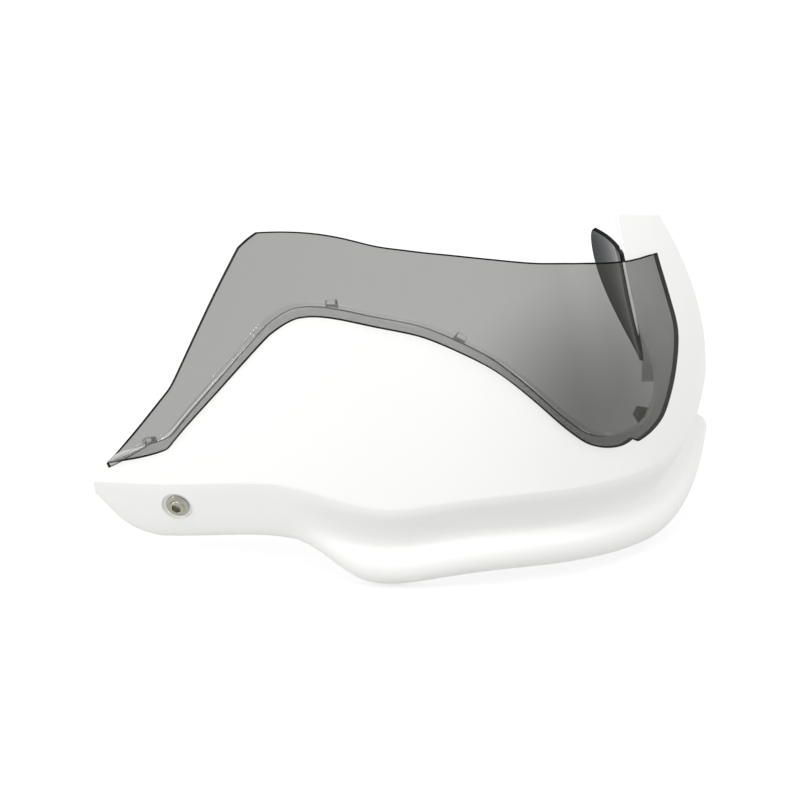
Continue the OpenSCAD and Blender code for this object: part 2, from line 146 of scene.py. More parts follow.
def reckon(tree: bpy.types.NodeTree, operation: str, *values) -> bpy.types.NodeSocket:
    """Adds a math node with these values or sockets, and gives its result."""
    return add_node(tree, "Math", dict(enumerate(values)), operation=operation).outputs[0]


def new_material(name: str) -> tuple[bpy.types.Material, bpy.types.NodeTree]:
    """Makes a material, and empties its node tree."""
    mat = bpy.data.materials.new(name)
    mat.use_nodes = True
    mat.node_tree.nodes.clear()
    return mat, mat.node_tree


@dataclass(frozen=True)
class Finish:
    """A surface finish: what the piece is made of, and how its surface was made."""

    name: str
    colour: str
    roughness: float
    metallic: float = 0.0
    ior: float = 1.5
    grain_mm: float = 1.0
    grain_depth_mm: float = 0.0
    colour_drift: float = 0.0
    roughness_drift: float = 0.0
    drift_mm: float = 22.0

    def material(self) -> bpy.types.Material:
        """Builds the material: fine bump of the grain's size, with slow drift in colour and roughness."""
        mat, tree = new_material(self.name)
        place = add_node(tree, "TexCoord").outputs["Object"]
        fine = add_node(tree, "TexNoise", {"Vector": place, "Scale": 1 / (self.grain_mm * MM), "Detail": 3.0})
        slow = add_node(tree, "TexNoise", {"Vector": place, "Scale": 1 / (self.drift_mm * MM), "Detail": 2.0})
        rgb = linear(self.colour)
        dark = tuple(c * (1 - self.colour_drift) for c in rgb)
        tint = add_node(tree, "Mix", {"Factor": slow.outputs[0]}, data_type="RGBA")
        tint.inputs["A"].default_value = (*dark, 1)
        tint.inputs["B"].default_value = (*rgb, 1)
        rough = add_node(
            tree, "MapRange",
            {"Value": slow.outputs[0], "To Min": self.roughness - self.roughness_drift,
             "To Max": self.roughness + self.roughness_drift})
        bump = add_node(
            tree, "Bump",
            {"Height": fine.outputs[0], "Distance": self.grain_depth_mm * MM, "Strength": 1.0})
        shader = add_node(
            tree, "BsdfPrincipled",
            {"Base Color": tint.outputs["Result"], "Roughness": rough.outputs[0], "Metallic": self.metallic,
             "Normal": bump.outputs[0]})
        if not self.metallic:
            shader.inputs["IOR"].default_value = self.ior
        add_node(tree, "OutputMaterial", {"Surface": shader.outputs[0]})
        return mat


@dataclass(frozen=True)
class TurnedFinish:
    """Metal that was faced on a lathe: fine rings round the bar's axis, which runs along X."""

    name: str
    colour: str
    roughness: float
    ring_mm: float = 0.35
    ring_depth_mm: float = 0.004
    ring_contrast: float = 0.15

    def material(self) -> bpy.types.Material:
        """Builds the material: rings about X on the faces, drawn coarser than real ones so that they show."""
        mat, tree = new_material(self.name)
        place = add_node(tree, "TexCoord").outputs["Object"]
        scale = 1 / (self.ring_mm * MM) / WAVES_PER_METRE
        rings = add_node(
            tree, "TexWave", {"Vector": place, "Scale": scale, "Distortion": 0.4},
            wave_type="RINGS", rings_direction="X")
        bump = add_node(
            tree, "Bump", {"Height": rings.outputs[0], "Distance": self.ring_depth_mm * MM, "Strength": 1.0})
        rough = add_node(
            tree, "MapRange",
            {"Value": rings.outputs[0], "To Min": self.roughness * (1 - self.ring_contrast),
             "To Max": self.roughness * (1 + self.ring_contrast)})
        shader = add_node(
            tree, "BsdfPrincipled",
            {"Base Color": (*linear(self.colour), 1), "Roughness": rough.outputs[0], "Metallic": 1.0,
             "Normal": bump.outputs[0]})
        add_node(tree, "OutputMaterial", {"Surface": shader.outputs[0]})
        return mat


@dataclass(frozen=True)
class SmokeFinish:
    """Clear sheet tinted in the mass: the longer the way through it, the darker it looks.

    passes is the share of light that comes through both faces of the wall straight on, and body the colour
    of what its surface throws back. slant_gain says how much more is lost at a slant. Round the low outer
    corner the sheet is drawn darker, as if denser there: that is painted shade, for the shade seen through
    it.
    """

    name: str
    passes: float
    body: str
    roughness: float = 0.03
    ior: float = 1.58
    slant_gain: float = 0.6
    least_cosine: float = 0.06
    gloss: float = 0.5
    soft_shadow: float = 0.1
    # Centre, reach and strength of the painted shade: the sheet is drawn darker round this point at the low
    # outer corner.
    painted_shade_centre_mm: tuple[float, float, float] = (-38.0, -104.0, -4.0)
    painted_shade_reach_mm: float = 90.0
    painted_shade_gain: float = 1.0

    def material(self) -> bpy.types.Material:
        """Builds the material: each of the wall's two faces takes its share of the light."""
        mat, tree = new_material(self.name)
        slant = add_node(tree, "LayerWeight", {"Blend": 0.5}).outputs["Facing"]
        cosine = reckon(tree, "MAXIMUM", reckon(tree, "SUBTRACT", 1.0, slant), self.least_cosine)
        way = reckon(tree, "DIVIDE", 1.0, cosine)
        way = reckon(tree, "MULTIPLY_ADD", way, self.slant_gain, 1 - self.slant_gain)
        # Painted shade: the way through the sheet is drawn longer round the low outer corner, so the sheet
        # looks darker there.
        place = add_node(tree, "TexCoord").outputs["Object"]
        centre = tuple(c * MM for c in self.painted_shade_centre_mm)
        far = add_node(tree, "VectorMath", {0: place, 1: centre}, operation="DISTANCE").outputs["Value"]
        painted_shade_ramp = add_node(
            tree, "MapRange",
            {"Value": far, "From Max": self.painted_shade_reach_mm * MM, "To Min": 1 + self.painted_shade_gain,
             "To Max": 1.0},
            interpolation_type="SMOOTHSTEP")
        way = reckon(tree, "MULTIPLY", way, painted_shade_ramp.outputs[0])
        left = reckon(tree, "POWER", math.sqrt(self.passes), way)
        taken = reckon(tree, "SUBTRACT", 1.0, left)
        path = add_node(tree, "LightPath")
        light = reckon(tree, "MAXIMUM", path.outputs["Is Shadow Ray"], path.outputs["Is Diffuse Ray"])
        keep = add_node(tree, "MapRange", {"Value": light, "To Min": 1.0, "To Max": self.soft_shadow})
        alpha = reckon(tree, "MULTIPLY", taken, keep.outputs[0])
        shader = add_node(
            tree, "BsdfPrincipled",
            {"Base Color": (*linear(self.body), 1), "Roughness": self.roughness, "IOR": self.ior,
             "Specular IOR Level": self.gloss, "Alpha": alpha})
        add_node(tree, "OutputMaterial", {"Surface": shader.outputs[0]})
        return mat


# Injection-moulded, satin: soft wide highlights, a faint skin texture.
WHITE_NYLON = Finish("satin_moulded_nylon", "F3F4F1", 0.36, grain_mm=0.5, grain_depth_mm=0.006,
                     colour_drift=0.008, roughness_drift=0.03, ior=1.53)
# Polished smoke polycarbonate, 3 mm: grey with a trace of warm green, with painted shade at the low outer
# corner.
SMOKE_POLYCARBONATE = SmokeFinish("smoke_polycarbonate", 0.355, "303129", gloss=0.25)
# The same sheet at its polished rim, where one looks along the wall: near black.
SMOKE_RIM = SmokeFinish("smoke_polycarbonate_rim", 0.0005, "030403", slant_gain=0.0, gloss=0.05,
                        painted_shade_gain=0.0)
# The same sheet in the ear, which points away from whoever looks at the guard: dark, a little blue.
SMOKE_EAR = SmokeFinish("smoke_polycarbonate_ear", 0.03, "14181D", slant_gain=1.0, gloss=0.35,
                        painted_shade_gain=0.0)
# Powder coat over a casting: fine orange peel.
POWDER_COAT = Finish("powder_coated_casting", "E6E8E7", 0.34, grain_mm=1.1, grain_depth_mm=0.02,
                     colour_drift=0.015, roughness_drift=0.04)
# Turned aluminium: rings left by the lathe tool.
TURNED_ALUMINIUM = TurnedFinish("turned_aluminium", "D2D8D6", 0.3)
# Barrelled aluminium: even dull shine.
BARRELLED_ALUMINIUM = Finish("barrelled_aluminium", "DADAD7", 0.36, metallic=1.0, grain_mm=0.4,
                             grain_depth_mm=0.006, roughness_drift=0.05)
# Zinc-plated steel: slightly warm, small roughness changes.
ZINC_STEEL = Finish("zinc_plated_steel", "A9A79C", 0.33, metallic=1.0, grain_mm=0.6, grain_depth_mm=0.006,
                    colour_drift=0.12, roughness_drift=0.06)
# Phosphated spring steel: dark olive, oily.
SPRING_STEEL = Finish("phosphated_spring_steel", "7E7D70", 0.42, metallic=1.0, grain_mm=0.8,
                      grain_depth_mm=0.01, colour_drift=0.25, roughness_drift=0.08)


# Meshes

# The rounding of a sheet's rim: its least radius, and its greatest as shares of the way from the rim to the
# middle of the faces beside it, and of the wall. Then the angles at which its two arcs have vertices.
RIM_LEAST_MM = 0.02
RIM_OF_REACH = 1.6
RIM_OF_WALL = 0.45
RIM_TURNS = [math.radians(a) for a in (22.5, 45, 67.5, 90)]
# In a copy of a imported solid, vertices nearer than this are one, and faces within this angle are one face.
MERGE_MM = 0.002
FLAT_DEG = 0.6
# The two ends of a full turn are nearer than this.
SEAM_MM = 0.0001


def finish_mesh(name: str, bm: bmesh.types.BMesh, smooth_deg: float = 35.0) -> bpy.types.Object:
    """Turns a bmesh into a linked object, smooth but for its sharp edges."""
    mesh = bpy.data.meshes.new(name)
    bm.to_mesh(mesh)
    bm.free()
    piece = bpy.data.objects.new(name, mesh)
    bpy.context.scene.collection.objects.link(piece)
    mesh.shade_smooth()
    mesh.set_sharp_from_angle(angle=math.radians(smooth_deg))
    return piece


def settle(piece: bpy.types.Object, smooth_deg: float = 35.0) -> None:
    """Puts the result of a piece's modifiers into its mesh, and removes them."""
    graph = bpy.context.evaluated_depsgraph_get()
    mesh = bpy.data.meshes.new_from_object(piece.evaluated_get(graph))
    piece.modifiers.clear()
    piece.data = mesh
    mesh.shade_smooth()
    mesh.set_sharp_from_angle(angle=math.radians(smooth_deg))


def join_shape(piece: bpy.types.Object, tool: bpy.types.Object, operation: str) -> None:
    """Adds one closed mesh to another, or cuts it out, and removes the tool."""
    mod = piece.modifiers.new("join", "BOOLEAN")
    mod.operation = operation
    mod.solver = "MANIFOLD"
    mod.material_mode = "TRANSFER"
    mod.object = tool
    settle(piece)
    bpy.data.objects.remove(tool)


def rim_in_order(bm: bmesh.types.BMesh) -> list[bmesh.types.BMVert]:
    """Vertices of a sheet's rim, in order round it."""
    rim = [v for v in bm.verts if v.is_boundary]
    ring = [rim[0]]
    while len(ring) < len(rim):
        beside = [e.other_vert(ring[-1]) for e in ring[-1].link_edges if e.is_boundary]
        ring.append(next(v for v in beside if len(ring) < 2 or v is not ring[-2]))
    return ring


@dataclass
class RimPoint:
    """A vertex of a sheet's rim, with the sheet's normal, the way out of it and the rounding's radius."""

    vert: bmesh.types.BMVert
    normal: Vector
    out: Vector
    radius: float

    def strip(self, bm: bmesh.types.BMesh, inner: bmesh.types.BMVert,
              wall: float) -> list[bmesh.types.BMVert]:
        """Draws both faces of the wall back from the rim and rounds it between them.

        Args:
            bm: Mesh of the sheet.
            inner: Vertex of the inner face behind this one.
            wall: Thickness of the sheet in metres.

        Returns:
            The vertices from the outer face round the rim to the inner one.
        """
        n, out, r = self.normal, self.out, self.radius
        high = self.vert.co - out * r - n * r
        low = high - n * (wall - 2 * r)
        arc = [high + n * (r * math.cos(a)) + out * (r * math.sin(a)) for a in RIM_TURNS]
        arc += [low - n * (r * math.cos(a)) + out * (r * math.sin(a)) for a in reversed(RIM_TURNS)]
        self.vert.co = high + n * r
        inner.co = low - n * r
        return [self.vert] + [bm.verts.new(co) for co in arc] + [inner]


def rim_points(bm: bmesh.types.BMesh, wall: float, most: float) -> list[RimPoint]:
    """Finds a sheet's rim, with as much rounding as the wall and the grid allow.

    Args:
        bm: Mesh of the sheet, without its wall.
        wall: Thickness of the sheet in metres.
        most: Radius in metres that no rounding passes.

    Returns:
        The rim's points, in order round it.
    """
    ring = rim_in_order(bm)
    points = []
    for k, vert in enumerate(ring):
        n = vert.normal.copy()
        out = (ring[(k + 1) % len(ring)].co - ring[k - 1].co).cross(n).normalized()
        middle = sum((f.calc_center_median() for f in vert.link_faces), Vector()) / len(vert.link_faces)
        reach = (vert.co - middle).dot(out)
        radius = max(RIM_LEAST_MM * MM, min(most, RIM_OF_REACH * abs(reach), RIM_OF_WALL * wall))
        points.append(RimPoint(vert, n, out if reach > 0 else -out, radius))
    return points


def bent_sheet(name: str, cols: int, rows: int, place: Callable[[float, float], Vector], wall_mm: float,
               round_mm: float, materials: Sequence[bpy.types.Material] = ()) -> bpy.types.Object:
    """Bends a flat grid, gives it its wall inwards and rounds its rim.

    Args:
        name: Name of the piece.
        cols: Number of steps along the sheet.
        rows: Number of steps across it.
        place: Gives the point in millimetres for shares u and v of the way along and across.
        wall_mm: Thickness of the sheet.
        round_mm: Radius of the rim's roundings, less where the grid is finer than that.
        materials: Finish of the faces and, if there is a second one, of the rim.

    Returns:
        The closed sheet.
    """
    bm = bmesh.new()
    bmesh.ops.create_grid(bm, x_segments=cols, y_segments=rows, size=0.5)
    for vert in bm.verts:
        vert.co = place(vert.co.x + 0.5, vert.co.y + 0.5) * MM
    bm.normal_update()
    faces = list(bm.faces)
    wall = wall_mm * MM
    rim = rim_points(bm, wall, round_mm * MM)
    inner = {v: bm.verts.new(v.co - v.normal * wall) for v in list(bm.verts)}
    strips = [point.strip(bm, inner[point.vert], wall) for point in rim]
    for face in faces:
        bm.faces.new([inner[v] for v in reversed(face.verts)])
    for k, strip in enumerate(strips):
        beside = strips[(k + 1) % len(strips)]
        for j in range(len(strip) - 1):
            face = bm.faces.new((strip[j], beside[j], beside[j + 1], strip[j + 1]))
            face.material_index = max(0, len(materials) - 1)
    bmesh.ops.recalc_face_normals(bm, faces=bm.faces)
    if bm.calc_volume(signed=True) < 0:
        bmesh.ops.reverse_faces(bm, faces=bm.faces)
    piece = finish_mesh(name, bm, 60)
    for material in materials:
        piece.data.materials.append(material)
    return piece


def from_edge(v: float, rows: int, near: float, far: float, edge: float) -> float:
    """Distance for a share v of the way across, with a first step of just this width off the edge.

    Args:
        v: Share of the way, 0 at the edge.
        rows: Number of steps.
        near: Distance at the edge.
        far: Distance at the other end.
        edge: Width of the first step, towards far.

    Returns:
        The distance.
    """
    first = 1 / rows
    if v <= first:
        return blend(near, near + edge, v / first)
    return blend(near + edge, far, (v - first) / (1 - first))


def turned(name: str, profile: Sequence[tuple[float, float]], place: Matrix,
           steps: int = 96) -> bpy.types.Object:
    """Turns a closed profile about its own axis.

    Args:
        name: Name of the piece.
        profile: Corners as (radius, height) in millimetres. A corner at radius 0 lies on the axis.
        place: Puts the axis, which is local Z, where the piece belongs.
        steps: Number of steps in the turn.

    Returns:
        The turned piece.
    """
    bm = bmesh.new()
    verts = [bm.verts.new((r * MM, 0, z * MM)) for r, z in profile]
    closed = all(r > 0 for r, _ in profile)
    nexts = verts[1:] + verts[:1] if closed else verts[1:]
    edges = [bm.edges.new(pair) for pair in zip(verts, nexts)]
    bmesh.ops.spin(bm, geom=verts + edges, cent=(0, 0, 0), axis=(0, 0, 1), angle=2 * math.pi, steps=steps,
                   use_merge=True)
    bmesh.ops.remove_doubles(bm, verts=bm.verts, dist=SEAM_MM * MM)
    bmesh.ops.recalc_face_normals(bm, faces=bm.faces)
    bmesh.ops.transform(bm, matrix=place, verts=bm.verts)
    return finish_mesh(name, bm, 30)


def plug(name: str, radius: float, low: float, high: float, place: Matrix,
         sides: int = 96) -> bpy.types.Object:
    """Plain cylinder or prism along local Z, in millimetres, as a tool for join_shape."""
    bm = bmesh.new()
    bmesh.ops.create_cone(bm, cap_ends=True, segments=sides, radius1=radius * MM, radius2=radius * MM,
                          depth=(high - low) * MM)
    bmesh.ops.translate(bm, vec=(0, 0, (low + high) / 2 * MM), verts=bm.verts)
    bmesh.ops.transform(bm, matrix=place, verts=bm.verts)
    return finish_mesh(name, bm)


def draw_out(bm: bmesh.types.BMesh, corners: Sequence[Point], way: Point) -> None:
    """Makes a face with these corners, in metres, and draws it out this way into a closed solid."""
    face = bm.faces.new([bm.verts.new(corner) for corner in corners])
    grown = bmesh.ops.extrude_face_region(bm, geom=[face])
    moved = [item for item in grown["geom"] if isinstance(item, bmesh.types.BMVert)]
    bmesh.ops.translate(bm, vec=way, verts=moved)
    bmesh.ops.recalc_face_normals(bm, faces=bm.faces)


def round_edges(bm: bmesh.types.BMesh, edges: Sequence[bmesh.types.BMEdge], round_mm: float,
                segments: int) -> None:
    """Rounds these edges of a solid."""
    bmesh.ops.bevel(bm, geom=list(edges), offset=round_mm * MM, affect="EDGES", segments=segments,
                    profile=0.5, material=-1)


def rounded_copy(name: str, node: str, round_mm: float, angle_deg: float = 28.0) -> bpy.types.Object:
    """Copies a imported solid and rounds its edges.

    Args:
        name: Name of the new piece.
        node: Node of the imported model.
        round_mm: Width of the rounding.
        angle_deg: Edges sharper than this are rounded.

    Returns:
        The copy, which stands for the node.
    """
    bm = bmesh.new()
    bm.from_mesh(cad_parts[node].data)
    bmesh.ops.remove_doubles(bm, verts=bm.verts, dist=MERGE_MM * MM)
    bmesh.ops.dissolve_limit(bm, angle_limit=math.radians(FLAT_DEG), verts=bm.verts, edges=bm.edges)
    piece = finish_mesh(name, bm)
    bevel = piece.modifiers.new("rounded_edges", "BEVEL")
    bevel.width = round_mm * MM
    bevel.segments = 3
    bevel.limit_method = "ANGLE"
    bevel.angle_limit = math.radians(angle_deg)
    settle(piece, 32)
    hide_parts(node)
    return piece


def dress(piece: bpy.types.Object, material: bpy.types.Material | None, slot: Slot) -> None:
    """Gives a piece its finish, unless it has one, fixes it to the part, and logs its slot."""
    if material:
        piece.data.materials.clear()
        piece.data.materials.append(material)
    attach(piece, ROOT)
    log.info("%s: %d faces, %s", piece.name, len(piece.data.polygons), slot.value)


# The form that shell and deflector share


@dataclass
class HandSkin:
    """Outer skin of the shell, in millimetres: a ridge, a face that leans back, a section under the ridge.

    A place t on the skin counts the ridge's points from the inner end. The fields that end in start and full
    are such places: the groove and the wing begin at the first and have their whole form at the second.
    """

    face_lean: float = 0.22
    face_crown: float = 0.0008
    wing_lean: float = -0.05
    wing_crown: float = 0.0026
    belt_drop: float = 47.0
    belt_bulge: float = 1.5
    groove_depth: float = 9.0
    strip_drop: float = 38.0
    lip_w: float = 9.0
    groove_start: float = 4.0
    groove_full: float = 5.7
    wing_start: float = 9.5
    wing_full: float = 13.0
    ridge: list[Point] = field(default_factory=lambda: [
        (-304, -96, -42), (-288, -102, -40), (-260, -112, -37), (-228, -122, -31), (-196, -131, -27),
        (-168, -139, -34), (-140, -143, -40), (-108, -143, -33), (-76, -140, -30), (-44, -131, -31),
        (-16, -114, -33), (8, -90, -35), (24, -62, -32), (33, -32, -22), (37, 0, -10), (39, 30, 2)])
    strip: list[Point] = field(default_factory=lambda: [
        (0, 0), (-0.8, -0.15), (-2.5, -0.32), (-4, -0.5), (-5.3, -0.65), (-6.6, -0.76)])
    strip_end: list[Point] = field(default_factory=lambda: [(-7.6, -0.84), (-8.6, -0.92), (-9.6, -1)])
    groove: list[Point] = field(default_factory=lambda: [
        (0, 0), (-0.05, -0.13), (-0.67, -0.3), (-1, -0.47), (-0.83, -0.57), (0, -0.66)])

    def outward(self, t: float) -> Vector:
        """Level direction out of the shell, at a place on the ridge."""
        d = curve(self.ridge, t + 0.05) - curve(self.ridge, t - 0.05)
        return Vector((d.y, -d.x, 0)).normalized()

    def section(self, t: float, u: float) -> Vector:
        """Section under the ridge as (out, up), at a share u of the way down."""
        k = ease((t - self.groove_start) / (self.groove_full - self.groove_start))
        # The section is lower at both ends of the ridge, and its lip turns in past the tip.
        tip = 0.18 + 0.82 * ease((t + 0.2) / 2)
        end = 1 - 0.16 * ease((t - 11) / 2.6)
        turn = ease((t - 0.8) / 1.4)
        down = blend(self.strip_drop * tip, self.belt_drop * end, k)
        lip = [(-7.8, -0.86), (-10.5, -0.96), (-10.5 - self.lip_w, -1)]
        strip = self.strip + [
            (blend(a[0], b[0], turn), blend(a[1], b[1], turn)) for a, b in zip(self.strip_end, lip)]
        belt = [(out * self.groove_depth, up) for out, up in self.groove] + [
            (self.belt_bulge, -0.82), (self.belt_bulge - 2, -0.965),
            (self.belt_bulge - 2 - self.lip_w, -1.01)]
        points = [(blend(a[0] * tip, b[0], k), blend(a[1], b[1], k)) for a, b in zip(strip, belt)]
        out, up = curve(points, -1 + u * (len(points) + 1))
        return Vector((out, up * down))

    def setback(self, t: float, h: float) -> float:
        """How far the skin stands out at a height h over the ridge."""
        k = ease((t - self.wing_start) / (self.wing_full - self.wing_start))
        lean = blend(self.face_lean, self.wing_lean, k)
        crown = blend(self.face_crown, self.wing_crown, k)
        return -(lean * h + crown * h * h)

    def point(self, t: float, s: float) -> Vector:
        """Point of the skin: s is the height over the ridge, or minus the share of the section under it."""
        out, up = (self.setback(t, s), s) if s >= 0 else self.section(t, -s)
        return curve(self.ridge, t) + self.outward(t) * out + Vector((0, 0, up))

    def normal(self, t: float, s: float) -> Vector:
        """Outward normal of the skin."""
        e = 0.02
        v = 0.5 if s > 0.5 else 0.01
        along = self.point(t + e, s) - self.point(t - e, s)
        across = self.point(t, s + v) - self.point(t, s - v)
        return along.cross(across).normalized()

    def off(self, t: float, s: float, d: float) -> Vector:
        """Point of the skin, moved outwards by d."""
        return self.point(t, s) + self.normal(t, s) * d

    def station(self, t: float, s: float, slope: float = 0.0) -> Matrix:
        """Place on the skin, in metres: X along the rim at this slope in degrees, Y up, Z outwards."""
        n = self.normal(t, s)
        turn = Matrix.Rotation(math.atan2(n.y, n.x), 4, "Z") @ Matrix.Rotation(math.acos(n.z), 4, "Y")
        return Matrix.Translation(self.point(t, s) * MM) @ turn @ Matrix.Rotation(
            math.radians(90 + slope), 4, "Z")


SKIN = HandSkin()
# Where the lever screw sits: place on the ridge, minus the share of the way down the section.
LEVER = (2.1, -0.335)
# Where the deflector's lugs cross the rim: place on the ridge, height over it, slope of the rim in degrees.
LUGS = {"foot": (1.5, 21, 15), "corner": (4.6, 99.2, 6), "middle": (7.27, 84.8, -30), "fin": (10.98, 28, 38)}
LUG_HOLE_Y = -7.5
LUG_BOSS_H = 3.2
LUG_CLEAR = 0.2


@dataclass
class Shell:
    """Moulded shell: face, belt and groove, the strip with the screw's sink, and the outer wing."""

    wall: float = 3.0
    rim_round: float = 0.8
    sink_d: float = 18.4
    sink_depth: float = 1.4
    boss_h: float = 9.0
    bush_d: float = 12.0
    lug_boss_d: float = 8.0
    lug_screw_d: float = 3.1
    cols: int = 300
    rows: int = 110
    edge_step: float = 1.0
    hook_w: float = 8.0
    hook_round: float = 0.5
    hooks: tuple[float, ...] = (7.5, 8.9)
    rim: list[Point] = field(default_factory=lambda: [
        (0, 0, 1.5), (0.35, 0.35, 8.5), (0.7, 0.7, 15), (1.05, 1.05, 18), (1.38, 1.38, 20),
        (1.68, 1.68, 22.6), (1.88, 1.88, 27), (2.08, 2.08, 34.5), (2.36, 2.36, 45), (2.62, 2.62, 54.5),
        (2.9, 2.9, 64.5), (3.17, 3.17, 74.5), (3.42, 3.42, 83.2), (3.7, 3.7, 90.2), (4.05, 4.05, 95.3),
        (4.45, 4.45, 98.6), (5, 5, 100.7), (5.6, 5.6, 101.2), (6.2, 6.2, 98.8), (6.8, 6.8, 93),
        (7.42, 7.42, 82), (8.03, 8.03, 71.5), (8.55, 8.55, 58), (8.95, 8.95, 45.5), (9.3, 9.3, 35),
        (9.6, 9.6, 28), (9.95, 9.95, 24), (10.25, 10.22, 23.6), (10.6, 10.52, 23.8),
        (10.95, 10.85, 25.8), (11.2, 11.1, 31), (11.45, 11.28, 38), (11.72, 11.36, 46), (12, 11.4, 55),
        (12.25, 11.2, 66), (12.5, 11.2, 78), (12.75, 11.25, 91), (12.95, 11.4, 110),
        (13.1, 11.72, 129), (13.15, 11.8, 131), (13.3, 12.3, 123), (13.45, 12.75, 114),
        (13.55, 13.05, 108)])
    hook: list[Point] = field(default_factory=lambda: [
        (10.4, 16.2), (10.4, 19.4), (-2.8, 19.4), (-3.8, 18.4), (-3.8, 8.8), (-1.3, 8.8), (-1.3, 16.2)])

    def place(self, u: float, v: float) -> Vector:
        """Point of the skin for shares of the way along the shell and up its section."""
        foot, over, height = curve(self.rim, -1 + u * (len(self.rim) + 1))
        if v < 0.5:
            return SKIN.point(foot, -(1 - 2 * v))
        h = from_edge(2 - 2 * v, self.rows // 2, height, 0, -min(self.edge_step, height / 8))
        return SKIN.point(blend(foot, over, h / height), h)

    def build(self) -> None:
        """Bends the sheet, gives it its wall, drills it, and adds the collar and boss round the screw."""
        piece = bent_sheet("shell_moulding", self.cols, self.rows, self.place, self.wall,
                           self.rim_round)
        lever = SKIN.station(*LEVER)
        join_shape(piece, plug("sink_cutter", self.sink_d / 2, -self.wall - 3, 6, lever), "DIFFERENCE")
        join_shape(piece, turned("collar", self.collar_profile(), lever), "UNION")
        for name, where in LUGS.items():
            boss = turned(f"boss_{name}", self.lug_boss_profile(), SKIN.station(*where) @ Matrix.Translation(
                (0, LUG_HOLE_Y * MM, 0)), 48)
            join_shape(piece, boss, "UNION")
        for t in self.hooks:
            join_shape(piece, self.arm_hook(t), "UNION")
        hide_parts("shell")
        dress(piece, WHITE_NYLON.material(), Slot.SHELL)

    def lug_boss_profile(self) -> list[tuple[float, float]]:
        """Section of a screw boss behind the shell's wall, with its blind hole."""
        outer = self.lug_boss_d / 2
        bore = self.lug_screw_d / 2
        end = -self.wall - LUG_BOSS_H
        return [(0, -self.wall + 1.4), (bore, -self.wall + 1.4), (bore, end + 0.3), (bore + 0.3, end),
                (outer - 0.3, end), (outer, end + 0.3), (outer + 0.2, -self.wall - 0.8),
                (outer + 1.1, -self.wall + 0.3), (outer + 1.1, -self.wall + 1.9), (0, -self.wall + 1.9)]

    def arm_hook(self, t: float) -> bpy.types.Object:
        """Hook on the shell's inner face that holds the bracket's arm by its upper edge.

        Args:
            t: Place on the ridge.

        Returns:
            The closed hook, rounded at its edges.
        """
        n = SKIN.outward(t)
        at = SKIN.off(t, -0.42, -self.wall - 0.6)
        along = Vector((-n.y, n.x, 0))
        bm = bmesh.new()
        half = along * (self.hook_w / 2)
        draw_out(bm, [(at + n * out + Vector((0, 0, up)) - half) * MM for out, up in self.hook],
                 along * (self.hook_w * MM))
        round_edges(bm, bm.edges, self.hook_round, 3)
        return finish_mesh("arm_hook", bm)

    def collar_profile(self) -> list[tuple[float, float]]:
        """Section of the collar: a rounded rim, the sink's floor, the bush's bore and the boss behind."""
        outer = self.sink_d / 2
        bore = self.bush_d / 2 + 0.1
        floor = -self.sink_depth
        return [(outer + 0.5, -0.5), (outer + 0.4, 0.08), (outer + 0.1, 0.2), (outer - 0.3, 0.12),
                (outer - 0.55, -0.2), (outer - 0.6, floor + 0.3), (outer - 0.9, floor), (bore + 0.4, floor),
                (bore, floor - 0.4), (bore, -self.boss_h), (bore + 2.4, -self.boss_h),
                (bore + 2.9, -self.boss_h + 0.5), (bore + 3.1, -self.wall - 0.6),
                (outer + 0.5, -self.wall + 0.2)]


